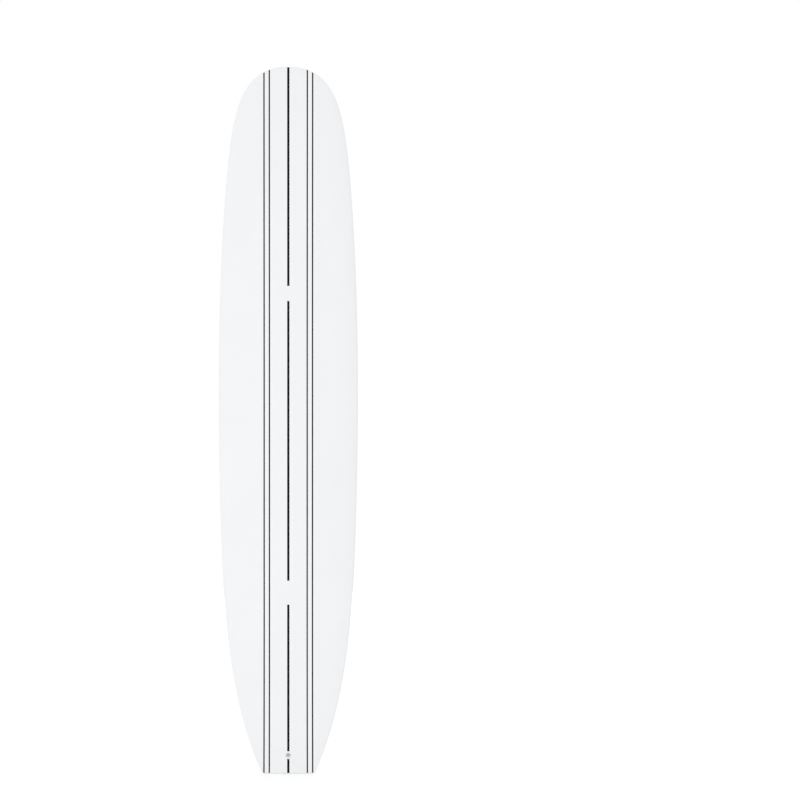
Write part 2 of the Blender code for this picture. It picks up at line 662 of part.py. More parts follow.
def main():
    clear_scene()
    white_resin = material("white_epoxy_laminate", (0.88, 0.90, 0.92), 0.18)
    black_resin = material("black_pinline_resin", (0.012, 0.012, 0.013), 0.25)
    foam = material("polyurethane_foam", (0.86, 0.84, 0.76), 0.9)
    basswood = material("basswood", (0.62, 0.43, 0.24), 0.6)
    black_plastic = material("black_moulded_plastic", (0.016, 0.016, 0.017), 0.45)
    white_plastic = material("white_moulded_plastic", (0.80, 0.81, 0.82), 0.35)
    green_glass = material("green_glass_fibre", (0.36, 0.55, 0.33), 0.2)
    steel = material("stainless_steel", (0.62, 0.62, 0.63), 0.3, 1.0)

    hull = add("hull", hull_mesh(0.0))
    box_slope = slope(bottom_line, BOX_CENTRE, BOX_LENGTH / 2)
    box_ends = (bottom_line(BOX_CENTRE - BOX_LENGTH / 2), bottom_line(BOX_CENTRE + BOX_LENGTH / 2))
    # Halfway between the straight line over the box's ends and the curve above its middle
    box_level = (bottom_line(BOX_CENTRE) + sum(box_ends) / 2) / 2
    box_place = (0, box_level, BOX_CENTRE)
    box_axes = axes_at("fin_box_axes", box_place, -math.pi / 2 - math.atan(box_slope))
    plug_slope = slope(deck_line, PLUG_CENTRE, PLUG_FLANGE_RADIUS)
    plug_place = (0, surface_y(0.0, PLUG_CENTRE, -1), PLUG_CENTRE)
    plug_axes = axes_at("leash_plug_axes", plug_place, math.pi / 2 - math.atan(plug_slope))

    flange_pocket, body_pocket = make_fin_box(black_plastic, hull, box_axes)
    make_fin(green_glass, steel, box_axes)
    plug_pockets = make_leash_plug(white_plastic, steel, plug_axes)

    deck_side = add("deck_side", across_mesh(seam_outline(True), REACH))
    bottom_side = add("bottom_side", across_mesh(seam_outline(False), REACH))
    deck = add("deck_laminate", hull_mesh(0.0, LAMINATE), white_resin)
    combine(deck, "INTERSECT", deck_side)
    combine(deck, "DIFFERENCE", plug_pockets[0])
    bottom = add("bottom_laminate", hull_mesh(0.0, LAMINATE), white_resin)
    combine(bottom, "INTERSECT", bottom_side)
    combine(bottom, "DIFFERENCE", flange_pocket)

    core = LAMINATE + GAP
    edge = STRINGER / 2 + GAP
    blanks = (
        ("foam_core_left", foam, -REACH, -edge),
        ("stringer", basswood, -STRINGER / 2, STRINGER / 2),
        ("foam_core_right", foam, edge, REACH),
    )
    for name, finish, low, high in blanks:
        blank = add(name, hull_mesh(core), finish)
        combine(blank, "INTERSECT", add(f"{name}_side", half_space(low, high)))
        combine(blank, "DIFFERENCE", flange_pocket, body_pocket, *plug_pockets)

    make_pinlines(black_resin)


main()
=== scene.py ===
# %% [markdown]
# # A longboard surfboard, finished in Blender
# Solid pieces of the board are already built and joined: foam, stringer, glass skins, pinlines, fin
# box, fin and leash plug. This lesson gives every visible piece the fine shape and the surface of the
# real one. The board stands on its tail. +Z runs up to the nose, the deck faces -Y and the bottom faces
# +Y. Lengths are in metres, unless a name ends in _mm.

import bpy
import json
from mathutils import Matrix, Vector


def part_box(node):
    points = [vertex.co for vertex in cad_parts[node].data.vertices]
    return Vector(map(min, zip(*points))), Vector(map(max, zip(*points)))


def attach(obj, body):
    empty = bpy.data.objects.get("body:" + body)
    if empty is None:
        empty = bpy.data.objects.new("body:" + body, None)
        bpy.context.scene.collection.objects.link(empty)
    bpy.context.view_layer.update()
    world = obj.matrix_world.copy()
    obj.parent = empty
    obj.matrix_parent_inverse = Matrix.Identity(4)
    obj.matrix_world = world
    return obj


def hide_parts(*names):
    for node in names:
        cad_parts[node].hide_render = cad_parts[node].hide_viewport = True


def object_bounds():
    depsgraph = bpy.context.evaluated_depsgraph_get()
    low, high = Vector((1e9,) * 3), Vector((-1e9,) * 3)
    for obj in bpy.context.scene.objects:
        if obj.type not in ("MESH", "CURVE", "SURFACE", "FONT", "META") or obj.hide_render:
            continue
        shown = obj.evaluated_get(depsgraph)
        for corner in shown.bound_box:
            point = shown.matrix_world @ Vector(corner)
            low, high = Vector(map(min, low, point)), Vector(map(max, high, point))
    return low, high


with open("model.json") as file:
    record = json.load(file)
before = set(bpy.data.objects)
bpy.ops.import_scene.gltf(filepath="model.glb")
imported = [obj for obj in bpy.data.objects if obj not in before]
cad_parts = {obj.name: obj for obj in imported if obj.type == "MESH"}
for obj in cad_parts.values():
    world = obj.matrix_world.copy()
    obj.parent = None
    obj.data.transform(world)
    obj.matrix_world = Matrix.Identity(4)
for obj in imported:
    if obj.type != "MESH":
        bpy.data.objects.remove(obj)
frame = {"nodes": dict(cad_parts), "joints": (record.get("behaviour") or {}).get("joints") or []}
cad_low, cad_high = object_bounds()
print("size in mm:", [round(1000 * side) for side in cad_high - cad_low])

# %% [markdown]
# ## Small tools for materials
# A colour picked on a screen is sRGB, while shaders reckon in linear light, so one function converts
# it. Another adds any shader node: its fields are set by name, and each socket takes a value or another
# node's output. Noise and band patterns are sized in millimetres, so two more turn a size into a
# texture scale.

# %% Colours, nodes and pattern sizes
import math

import bpy


def linear(hex_colour):
    """A screen colour such as F4F5F7 as linear light, fully opaque."""
    shares = [int(hex_colour[i : i + 2], 16) / 255 for i in (0, 2, 4)]
    light = [s / 12.92 if s <= 0.04045 else ((s + 0.055) / 1.055) ** 2.4 for s in shares]
    return (*light, 1.0)


def add_node(owner, kind, sockets, **fields):
    """Adds a shader node to a material or a world. Sockets take values or other nodes' outputs."""
    node = owner.node_tree.nodes.new(kind)
    for field, value in fields.items():
        setattr(node, field, value)
    for socket, value in sockets.items():
        if isinstance(value, bpy.types.NodeSocket):
            owner.node_tree.links.new(value, node.inputs[socket])
        else:
            node.inputs[socket].default_value = value
    return node


def empty_tree(owner):
    """Switches a material or a world to nodes and clears the ones it starts with."""
    owner.use_nodes = True
    owner.node_tree.nodes.clear()
    return owner


def noise_scale(blotch_mm):
    return 1000 / blotch_mm


def band_scale(period_mm):
    return 1000 * math.pi / 10 / period_mm  # a band texture of scale 1 repeats every pi/10 metres


print("white in linear light:", [round(c, 3) for c in linear("F4F5F7")])

# %% [markdown]
# ## The board's curves
# A shaper draws three curves: the outline seen from the deck, the rocker seen from the side, and the
# foil, which is the thickness along the board. Each cross-section is then a rounded oval, fuller under
# the bottom than over the deck. The solid pieces were built from these formulas with few facets. Here
# they are written again, so that a much finer surface can be laid exactly where the solid one is.

# %% Outline, rocker and foil
LENGTH, WIDTH, THICKNESS = 2.845, 0.568, 0.070
WIDE_POINT, THICK_POINT, LOW_POINT = 1.490, 1.108, 1.213  # heights above the tail
TAIL_BLOCK, TAIL_CORNER, TAIL_EDGE = 0.212, 0.009, 0.0035
TAIL_THICKNESS, TAIL_ROCKER = 0.0137, 0.098
NOSE_THICKNESS, NOSE_EDGE, NOSE_ROCKER = 0.015, 0.008, 0.0925
RAIL_APEX = 0.47  # share of the thickness on the deck's side of the rail's widest line
NOSE_TAPER, NOSE_TAPER_POWER = 0.297, 2.34
NOSE_ROUND_POWER, NOSE_ROUND_ROOT = 14.15, 2.24
TAIL_EASY_SHARE, TAIL_EASY_POWER, TAIL_PULL_POWER = 0.265, 1.66, 4.88
ROCKER_POWERS, FOIL_POWERS = (2.83, 3.26), (4.4, 1.75)  # towards the nose and towards the tail


def rounded_in(radius, distance):
    """How far a rounded edge draws back at a distance from the end."""
    short = max(radius - distance, 0.0)
    return radius - math.sqrt(radius**2 - short**2)


def half_width(z):
    half = WIDTH / 2
    if z > WIDE_POINT:
        u = min((z - WIDE_POINT) / (LENGTH - WIDE_POINT), 1.0)
        round_nose = (1 - u**NOSE_ROUND_POWER) ** (1 / NOSE_ROUND_ROOT)
        return half * (1 - NOSE_TAPER * u**NOSE_TAPER_POWER) * round_nose
    u = (WIDE_POINT - z) / WIDE_POINT
    pull = TAIL_EASY_SHARE * u**TAIL_EASY_POWER + (1 - TAIL_EASY_SHARE) * u**TAIL_PULL_POWER
    return half - (half - TAIL_BLOCK / 2) * pull - rounded_in(TAIL_CORNER, z)


def towards_ends(z, middle, nose_power, tail_power):
    nose = max(z - middle, 0.0) / (LENGTH - middle)
    tail = max(middle - z, 0.0) / middle
    return nose**nose_power, tail**tail_power


def bottom_line(z):
    """Y of the bottom on the centre line."""
    nose, tail = towards_ends(z, LOW_POINT, *ROCKER_POWERS)
    return TAIL_THICKNESS / 2 + TAIL_ROCKER * (1 - tail) - NOSE_ROCKER * nose


def thickness(z):
    nose, tail = towards_ends(z, THICK_POINT, *FOIL_POWERS)
    return THICKNESS - (THICKNESS - NOSE_THICKNESS) * nose - (THICKNESS - TAIL_THICKNESS) * tail


def rail_line(z):
    """Y of the rail's widest line."""
    return bottom_line(z) - (1 - RAIL_APEX) * thickness(z)


def heights(z):
    """How far the deck and the bottom stand out from the rail's widest line."""
    to_nose = min((LENGTH - z) / NOSE_EDGE, 1.0)
    nose_round = math.sqrt(1 - (1 - to_nose) ** 2)
    edge = rounded_in(TAIL_EDGE, z)
    deck = RAIL_APEX * thickness(z) - edge
    bottom = (1 - RAIL_APEX) * thickness(z) - edge
    return deck * nose_round, bottom * nose_round


print("widest:", round(2000 * half_width(WIDE_POINT)), "mm")
print("thickest:", round(1000 * thickness(THICK_POINT)), "mm")

# %% [markdown]
# ## From curves to a surface
# A section is a superellipse: a power of 2 would be a plain ellipse, and a higher power is squarer. The
# deck is a little fuller than an ellipse and the bottom is nearly flat with tucked rails. Points are
# spread by their angle as seen from the section's middle, which gives close rows of faces round the
# rail, where it bends most.

# %% Points and normals of the skin
from mathutils import Vector

DECK_CROWN, BOTTOM_FLATNESS = 2.3, 4.5
TINY = 1e-5  # step for measuring slopes


def skin_point(z, turn):
    """A point of the skin. Turn 0 is the right rail, a quarter turn the deck, half a turn the left rail."""
    across, up = math.cos(turn), math.sin(turn)
    deck, bottom = heights(z)
    power, height = (DECK_CROWN, deck) if up > 0 else (BOTTOM_FLATNESS, bottom)
    reach = (abs(across) ** power + abs(up) ** power) ** (-1 / power)
    return Vector((half_width(z) * reach * across, rail_line(z) - height * reach * up, z))


def skin_y(x, z, outward):
    """Y of the deck (outward -1) or of the bottom (outward 1) at a place."""
    deck, bottom = heights(z)
    power, height = (DECK_CROWN, deck) if outward < 0 else (BOTTOM_FLATNESS, bottom)
    return rail_line(z) + outward * height * (1 - abs(x / half_width(z)) ** power) ** (1 / power)


def fullness(x, y, z):
    """1 on the skin, less inside the board and more outside it."""
    z = min(max(z, 0.0), cad_high.z)
    up = y - rail_line(z)
    deck, bottom = heights(z)
    power, height = (DECK_CROWN, deck) if up < 0 else (BOTTOM_FLATNESS, bottom)
    return abs(x / half_width(z)) ** power + abs(up / height) ** power


def skin_normal(point):
    """The direction straight out of the skin, from how quickly fullness grows along each axis."""
    slopes = []
    for axis in range(3):
        step = Vector((0, 0, 0))
        step[axis] = TINY
        slopes.append(fullness(*(point + step)) - fullness(*(point - step)))
    return Vector(slopes).normalized()


print("deck normal at the middle:", [round(n, 2) for n in skin_normal(skin_point(LENGTH / 2, math.pi / 2))])

# %% [markdown]
# ## White epoxy over glass cloth
# The board is wrapped in glass cloth, wetted out with resin, filled with a second coat, sanded and
# polished. The eye sees a clean white with a gloss, and on it three faint things: cloth just under the
# surface, the long soft waves that hand sanding leaves, and slow changes of tone. Each is one small
# pattern here. Cloth threads are about 1.3 mm apart, too fine for the picture, so they are drawn three
# times as coarse.

# %% White polished epoxy
white_epoxy = empty_tree(bpy.data.materials.new("white_epoxy_over_glass_cloth_polished"))
at = add_node(white_epoxy, "ShaderNodeTexCoord", {}).outputs["Object"]
warp = {"Vector": at, "Scale": band_scale(4)}
threads_across = add_node(white_epoxy, "ShaderNodeTexWave", warp, bands_direction="X")
threads_along = add_node(white_epoxy, "ShaderNodeTexWave", warp, bands_direction="Z")
crossing = {0: threads_across.outputs["Fac"], 1: threads_along.outputs["Fac"]}
cloth = add_node(white_epoxy, "ShaderNodeMath", crossing, operation="MULTIPLY")
tone = add_node(white_epoxy, "ShaderNodeTexNoise", {"Vector": at, "Scale": noise_scale(260), "Detail": 3.0})
tints = {0: tone.outputs["Fac"], 6: linear("F1F2F4"), 7: linear("F6F7F9")}
white_tint = add_node(white_epoxy, "ShaderNodeMix", tints, data_type="RGBA")
showing = {0: cloth.outputs[0], 6: white_tint.outputs[2], 7: linear("F4F5F6")}
white_cloth = add_node(white_epoxy, "ShaderNodeMix", showing, data_type="RGBA")
sanding = add_node(white_epoxy, "ShaderNodeTexNoise", {"Vector": at, "Scale": noise_scale(95), "Detail": 1.0})
waves = {"Height": sanding.outputs["Fac"], "Distance": 0.00012, "Strength": 1.0}
sanded = add_node(white_epoxy, "ShaderNodeBump", waves)
haze = add_node(white_epoxy, "ShaderNodeTexNoise", {"Vector": at, "Scale": noise_scale(30), "Detail": 4.0})
polish = {"Value": haze.outputs["Fac"], "To Min": 0.10, "To Max": 0.20}
gloss = add_node(white_epoxy, "ShaderNodeMapRange", polish)
epoxy_sockets = {
    "Base Color": white_cloth.outputs[2],
    "Roughness": gloss.outputs[0],
    "IOR": 1.55,
    "Normal": sanded.outputs[0],
}
shader = add_node(white_epoxy, "ShaderNodeBsdfPrincipled", epoxy_sockets)
add_node(white_epoxy, "ShaderNodeOutputMaterial", {"Surface": shader.outputs[0]})
print(white_epoxy.name, "has", len(white_epoxy.node_tree.nodes), "nodes")

# %% [markdown]
# ## Making a piece
# Most pieces start as a bmesh, Blender's mesh that a script can build face by face. One function turns
# it into an object with its material and tells the frame which body carries it and which solid it
# stands for. Holes are cut with the exact Boolean, and the result is then kept as a plain mesh.

# %% Pieces, grids and cuts
import bmesh

CREASE = math.radians(35)  # edges sharper than this stay crisp


def add_object(name, bm):
    mesh = bpy.data.meshes.new(name)
    bm.to_mesh(mesh)
    bm.free()
    made = bpy.data.objects.new(name, mesh)
    bpy.context.scene.collection.objects.link(made)
    return made


def combine(piece, operation, bm):
    """Cuts, joins or trims a piece with a closed shape, and keeps the result as a plain mesh."""
    tool = add_object("tool", bm)
    modifier = piece.modifiers.new(operation, "BOOLEAN")
    modifier.operation = operation
    modifier.solver = "EXACT"
    modifier.object = tool
    keep_shape(piece)
    bpy.data.objects.remove(tool)


def keep_shape(piece):
    """Replaces a piece's mesh by what its modifiers make of it."""
    bpy.context.view_layer.update()
    graph = bpy.context.evaluated_depsgraph_get()
    made = bpy.data.meshes.new_from_object(piece.evaluated_get(graph))
    piece.modifiers.clear()
    piece.data = made


def finish_piece(piece, material, slot, body, *solids):
    """Gives a piece its material, and its place in the frame."""
    piece.data.materials.clear()
    piece.data.materials.append(material)
    piece.data.shade_smooth()
    piece.data.set_sharp_from_angle(angle=CREASE)
    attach(piece, body)
    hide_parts(*solids)
    print(piece.name, "-", len(piece.data.polygons), "faces on", body)


def add_grid(bm, rows, turns):
    """Faces of the skin between heights and turns. Returns the grid's points, row by row."""
    points = [[bm.verts.new(skin_point(z, turn)) for turn in turns] for z in rows]
    for low, high in zip(points, points[1:]):
        for j in range(len(turns) - 1):
            bm.faces.new((low[j + 1], low[j], high[j], high[j + 1]))
    return points


print("edges sharper than", round(math.degrees(CREASE)), "degrees stay crisp")

# %% [markdown]
# ## Deck skin and bottom skin
# Two skins wrap the board and meet just below the rail's widest line. The bottom skin also turns over
# the tail's end. Each one is a grid laid on the formulas, with rows packed closely towards the nose and
# the tail, given its thickness by a Solidify modifier. The places for the fin box and the leash plug
# are cut out later, once those shapes are known.

# %% Lay the two skins
LAMINATE = 0.0012
LAP_SHARE = 0.25  # where the skins meet, of the height below the rail's widest line
TAIL_LAP = 0.002  # how far the bottom skin turns over the tail end
TAIL_ROWS, NOSE_ROWS, COLUMNS = 56, 64, 72
TAIL_CLOSER, NOSE_CLOSER = 2.4, 3  # powers that draw the rows together towards the ends
WELD = 1e-6

tail_rows = [WIDE_POINT * (k / TAIL_ROWS) ** TAIL_CLOSER for k in range(TAIL_ROWS)]
nose_span = LENGTH - WIDE_POINT
nose_rows = [LENGTH - nose_span * (k / NOSE_ROWS) ** NOSE_CLOSER for k in range(NOSE_ROWS, 0, -1)]
rows = sorted([z for z in tail_rows + nose_rows if z < cad_high.z] + [TAIL_LAP, cad_high.z])
lap_x = (1 - LAP_SHARE**BOTTOM_FLATNESS) ** (1 / BOTTOM_FLATNESS)
lap_turn = math.atan2(LAP_SHARE, lap_x)
deck_span = math.pi + 2 * lap_turn
deck_turns = [-lap_turn + deck_span * j / COLUMNS for j in range(COLUMNS + 1)]
bottom_span = 2 * math.pi - deck_span
bottom_turns = [math.pi + lap_turn + bottom_span * j / COLUMNS for j in range(COLUMNS + 1)]
round_turns = [turn - 2 * math.pi for turn in bottom_turns] + deck_turns[1:]


def lay_hull():
    """The whole board as one closed shape."""
    bm = bmesh.new()
    points = add_grid(bm, rows, round_turns)
    bm.faces.new(points[0])
    bm.faces.new(reversed(points[-1]))
    bmesh.ops.remove_doubles(bm, verts=bm.verts, dist=WELD)
    return bm


def lay_deck():
    bm = bmesh.new()
    points = add_grid(bm, [z for z in rows if z >= TAIL_LAP], deck_turns)
    bm.faces.new(reversed(points[-1]))
    return bm


def lay_bottom():
    bm = bmesh.new()
    end = add_grid(bm, [z for z in rows if z <= TAIL_LAP], round_turns)
    bm.faces.new(end[0])
    points = add_grid(bm, [z for z in rows if z >= TAIL_LAP], bottom_turns)
    bm.faces.new(reversed(points[-1]))
    bmesh.ops.remove_doubles(bm, verts=bm.verts, dist=WELD)
    return bm


deck_skin = add_object("deck_skin", lay_deck())
bottom_skin = add_object("bottom_skin", lay_bottom())
for skin in (deck_skin, bottom_skin):
    solidify = skin.modifiers.new("laminate", "SOLIDIFY")
    solidify.thickness = LAMINATE
    solidify.offset = -1
    keep_shape(skin)
    print(skin.name, "-", len(rows), "rows,", len(skin.data.vertices), "vertices")

# %% [markdown]
# ## Axes for the fin and the plug
# The fin box lies along the bottom, which is curved and leans a little, so its parts are modelled in
# its own axes: X across the board, Y aft along the box and Z straight out of the bottom. The joints of
# the frame already hold those directions, and the screw's hinge says where the box is. The leash plug's
# bar gives its place in the same way, and the deck's slope there its lean.

# %% Find the axes
from mathutils import Matrix

SCREW_AHEAD = 0.096  # of the middle of the box
PLUG_BAR_DEPTH = 0.005


def axes(across, along, out, place):
    """A matrix that carries local X, Y and Z to these directions at a place."""
    turned = Matrix((across, along, out)).transposed().to_4x4()
    return Matrix.Translation(place) @ turned


joints = {joint["name"]: joint for joint in frame["joints"]}
aft = Vector(joints["fin_slide"]["axis"])
fin_out = Vector(joints["fin_screw_turn"]["axis"])
screw_place = Vector(joints["fin_screw_turn"]["pos_m"])
sideways = Vector((1, 0, 0))
box_axes = axes(sideways, aft, fin_out, screw_place + aft * SCREW_AHEAD)
screw_axes = axes(sideways, aft, fin_out, screw_place)
bar_low, bar_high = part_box("leash_plug_pin")
bar_place = (bar_low + bar_high) / 2
plug_out = skin_normal(Vector((0, skin_y(0, bar_place.z, -1), bar_place.z)))
plug_axes = axes(sideways, plug_out.cross(sideways), plug_out, bar_place + plug_out * PLUG_BAR_DEPTH)
print("fin box at", [round(1000 * c, 1) for c in box_axes.translation], "mm")
print("plug at", [round(1000 * c, 1) for c in plug_axes.translation], "mm")

# %% [markdown]
# ## Drawn-out and turned shapes
# Moulded and machined parts mostly come from two simple moves: an outline drawn out to a depth, and a
# profile turned about an axis. Both are short functions on a bmesh. Arcs are drawn with enough steps to
# look round close up.

# %% Outlines, prisms and lathes
ARC_STEPS, CIRCLE_STEPS, LATHE_STEPS = 12, 24, 64


def arc(x, y, radius, start, end, steps=ARC_STEPS):
    """Points along a circle between two angles in degrees."""
    angles = [math.radians(start + (end - start) * i / steps) for i in range(steps + 1)]
    return [(x + radius * math.cos(a), y + radius * math.sin(a)) for a in angles]


def circle(x, y, radius):
    return arc(x, y, radius, 0, 360, CIRCLE_STEPS)[:-1]


def stadium(width, length):
    """An outline with round ends, long along Y."""
    radius, straight = width / 2, (length - width) / 2
    return arc(0, straight, radius, 0, 180) + arc(0, -straight, radius, 180, 360)


def prism(outline, low, high, placed):
    """An outline in X and Y drawn out along Z, then put in place."""
    bm = bmesh.new()
    base = bm.faces.new([bm.verts.new((x, y, low)) for x, y in outline])
    side = bmesh.ops.extrude_face_region(bm, geom=[base])
    moved = [v for v in side["geom"] if isinstance(v, bmesh.types.BMVert)]
    bmesh.ops.translate(bm, verts=moved, vec=(0, 0, high - low))
    bmesh.ops.recalc_face_normals(bm, faces=bm.faces)
    bm.transform(placed)
    return bm


def lathe(profile, placed, steps=LATHE_STEPS):
    """A profile of radius and height turned about Z, then put in place. Radius 0 is a point on the axis."""
    bm = bmesh.new()
    rings = []
    for radius, height in profile:
        angles = [2 * math.pi * i / steps for i in range(steps if radius > 0 else 1)]
        rings.append([bm.verts.new((radius * math.cos(a), radius * math.sin(a), height)) for a in angles])
    for one, two in zip(rings, rings[1:]):
        for i in range(steps):
            after = (i + 1) % steps
            corners = (one[i % len(one)], one[after % len(one)], two[after % len(two)], two[i % len(two)])
            bm.faces.new(dict.fromkeys(corners))
    bmesh.ops.recalc_face_normals(bm, faces=bm.faces)
    bm.transform(placed)
    return bm


print("a stadium outline has", len(stadium(0.01, 0.1)), "points")

# %% [markdown]
# ## Fin box
# The box is a black moulding routed into the bottom and sanded flush with it. Its flange has six round
# notches down each side, which the resin keys into, and a long slot with a channel under each lip,
# where the fin's pin and the plate run. In the middle the slot is wider, and that is where they are let
# in. It is a notched prism, joined to a deeper body, trimmed by the board's own surface so that it
# follows the bottom's curve, and then cut.

# %% Model the fin box
BOX_LENGTH, FLANGE_WIDTH, FLANGE_DEPTH = 0.2667, 0.0248, 0.0045
NOTCHES, NOTCH_PITCH, NOTCH_DEPTH, NOTCH_LENGTH = 6, 0.0402, 0.0032, 0.012
BODY_WIDTH, BODY_LENGTH, BOX_DEPTH = 0.018, 0.2587, 0.0205
SLOT_WIDTH, SLOT_LENGTH, SLOT_DEPTH = 0.0097, 0.2487, 0.0182
CHANNEL_WIDTH, CHANNEL_LENGTH, CHANNEL_TOP, CHANNEL_FLOOR = 0.0156, 0.2467, 0.007, 0.0126
PORT_WIDTH, PORT_LENGTH, PORT_FLOOR = 0.0152, 0.018, 0.0098
RESIN_LINE = 0.0002  # left all round the box and the plug


def notched_outline(grown):
    """The flange's outline, grown outwards all round."""
    edge = FLANGE_WIDTH / 2
    radius = ((NOTCH_LENGTH / 2) ** 2 + NOTCH_DEPTH**2) / (2 * NOTCH_DEPTH)
    notch_x = edge + radius - NOTCH_DEPTH
    half_angle = math.degrees(math.acos((notch_x - edge - grown) / (radius - grown)))
    right = []
    for k in range(NOTCHES):
        y = (k - (NOTCHES - 1) / 2) * NOTCH_PITCH
        right += arc(notch_x, y, radius - grown, 180 + half_angle, 180 - half_angle)
    left = [(-x, y) for x, y in reversed(right)]
    straight = BOX_LENGTH / 2 - edge
    far = arc(0, straight, edge + grown, 0, 180)
    return right + far + left + arc(0, -straight, edge + grown, 180, 360)


fin_box = add_object("fin_box_moulding", prism(notched_outline(0), -FLANGE_DEPTH, BOX_DEPTH, box_axes))
body = prism(stadium(BODY_WIDTH, BODY_LENGTH), -BOX_DEPTH, -FLANGE_DEPTH / 2, box_axes)
combine(fin_box, "UNION", body)
combine(fin_box, "INTERSECT", lay_hull())
combine(fin_box, "DIFFERENCE", prism(stadium(SLOT_WIDTH, SLOT_LENGTH), -SLOT_DEPTH, BOX_DEPTH, box_axes))
channel = prism(stadium(CHANNEL_WIDTH, CHANNEL_LENGTH), -CHANNEL_FLOOR, -CHANNEL_TOP, box_axes)
combine(fin_box, "DIFFERENCE", channel)
combine(fin_box, "DIFFERENCE", prism(stadium(PORT_WIDTH, PORT_LENGTH), -PORT_FLOOR, BOX_DEPTH, box_axes))
combine(bottom_skin, "DIFFERENCE", prism(notched_outline(RESIN_LINE), -FLANGE_DEPTH, BOX_DEPTH, box_axes))
print("fin box faces:", len(fin_box.data.polygons))

# %% [markdown]
# The box is polycarbonate, moulded black and then sanded level with the glass, so its face shows fine
# sanding scratches along its length over a satin black, and the slot's walls stay as they were moulded.
# Scratches are well under a millimetre wide and are drawn at 2 mm, long along the box.

# %% Black polycarbonate, sanded flush
black_plastic = empty_tree(bpy.data.materials.new("black_polycarbonate_moulded_sanded_flush"))
at = add_node(black_plastic, "ShaderNodeTexCoord", {}).outputs["Object"]
stretched = add_node(black_plastic, "ShaderNodeMapping", {"Vector": at, "Scale": (1.0, 0.3, 0.06)})
grit = {"Vector": stretched.outputs[0], "Scale": noise_scale(2), "Detail": 3.0}
scratches = add_node(black_plastic, "ShaderNodeTexNoise", grit)
blacks = {0: scratches.outputs["Fac"], 6: linear("08080A"), 7: linear("161618")}
black_tint = add_node(black_plastic, "ShaderNodeMix", blacks, data_type="RGBA")
satin = {"Value": scratches.outputs["Fac"], "To Min": 0.35, "To Max": 0.60}
satin_black = add_node(black_plastic, "ShaderNodeMapRange", satin)
scored = add_node(black_plastic, "ShaderNodeBump", {"Height": scratches.outputs["Fac"], "Distance": 0.00005})
plastic_sockets = {
    "Base Color": black_tint.outputs[2],
    "Roughness": satin_black.outputs[0],
    "IOR": 1.58,
    "Specular IOR Level": 0.15,  # sanding leaves little gloss, so the face stays black in a white room
    "Normal": scored.outputs[0],
}
shader = add_node(black_plastic, "ShaderNodeBsdfPrincipled", plastic_sockets)
add_node(black_plastic, "ShaderNodeOutputMaterial", {"Surface": shader.outputs[0]})
finish_piece(fin_box, black_plastic, "black_moulded_plastic", "board", "fin_box")

# %% [markdown]
# ## Leash plug
# A white cup is set into the deck near the tail, its flange flush with the glass, with a bar across it
# for the leash's string. Turning one profile gives the cup: floor, wall, rounded rim, flange and
# outside. The bar runs into the wall at both ends.

# %% Model the plug and its bar
PLUG_BORE, PLUG_WALL, PLUG_FLANGE_RADIUS, PLUG_FLANGE = 0.0086, 0.0018, 0.013, 0.002
PLUG_DEPTH, PLUG_FLOOR, PLUG_RIM = 0.014, 0.0016, 0.0006
BAR_RADIUS, BAR_LENGTH, BAR_BEVEL = 0.002, 0.0188, 0.0003
FLOOR_FILLET = 0.0015

floor_level = PLUG_FLOOR - PLUG_DEPTH
outer = PLUG_BORE + PLUG_WALL
cup_profile = [(0, floor_level)]
cup_profile += arc(PLUG_BORE - FLOOR_FILLET, floor_level + FLOOR_FILLET, FLOOR_FILLET, -90, 0)
cup_profile += arc(PLUG_BORE + PLUG_RIM, -PLUG_RIM, PLUG_RIM, 180, 90)
cup_profile += arc(PLUG_FLANGE_RADIUS - PLUG_RIM, -PLUG_RIM, PLUG_RIM, 90, 0)
cup_profile += [(PLUG_FLANGE_RADIUS, -PLUG_FLANGE), (outer, -PLUG_FLANGE)]
cup_profile += [(outer, -PLUG_DEPTH), (0, -PLUG_DEPTH)]
plug_cup = add_object("leash_plug_moulding", lathe(cup_profile, plug_axes))

half_bar = BAR_LENGTH / 2
bevelled = BAR_RADIUS - BAR_BEVEL
bar_profile = [(0, -half_bar), (bevelled, -half_bar), (BAR_RADIUS, BAR_BEVEL - half_bar)]
bar_profile += [(BAR_RADIUS, half_bar - BAR_BEVEL), (bevelled, half_bar), (0, half_bar)]
bar_axes = Matrix.Translation(bar_place) @ Matrix.Rotation(math.pi / 2, 4, "Y")
plug_bar = add_object("leash_plug_bar", lathe(bar_profile, bar_axes))

hole = [(0, -PLUG_FLANGE), (PLUG_FLANGE_RADIUS + RESIN_LINE, -PLUG_FLANGE)]
hole += [(PLUG_FLANGE_RADIUS + RESIN_LINE, PLUG_DEPTH), (0, PLUG_DEPTH)]
combine(deck_skin, "DIFFERENCE", lathe(hole, plug_axes))
print("plug", round(2000 * PLUG_FLANGE_RADIUS), "mm across")

# %% [markdown]
# The plug is moulded from white ABS, a slightly warmer white than the epoxy, with the soft grain of a
# mould. The bar is stainless steel, drawn and polished. Steel's colour is its reflection, so it has
# only a little change of roughness along the drawing lines, drawn at half a millimetre.

